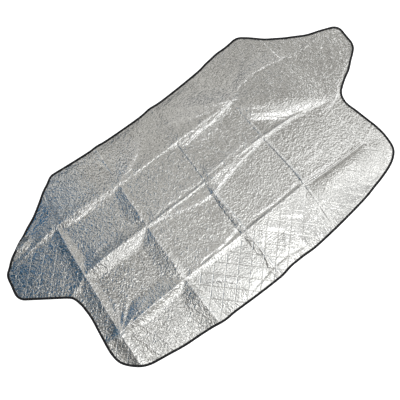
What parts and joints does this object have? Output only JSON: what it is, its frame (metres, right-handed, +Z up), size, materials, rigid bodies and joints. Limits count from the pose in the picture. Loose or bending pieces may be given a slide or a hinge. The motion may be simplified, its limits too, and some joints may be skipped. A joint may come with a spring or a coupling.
{
  "type": "windshield frost cover",
  "caption": "Foil-faced padded sheet cut to a windshield with a flap at each side, bound round the edge with black tape and creased by folding.",
  "frame": {"origin": "on the ground under the middle of the cover's box", "axes": "+X along the cover's length towards one door flap, +Y towards the roof edge, +Z up out of the foil side"},
  "size_m": [1.8818, 0.9764, 0.013],
  "materials": {
    "embossed_foil": "crinkled satin foil, welded in small diamonds",
    "binding_tape": "woven black tape, matt"
  },
  "bodies": {
    "root": {"foil_panel": "embossed_foil", "edge_binding": "binding_tape"}
  },
  "joints": []
}
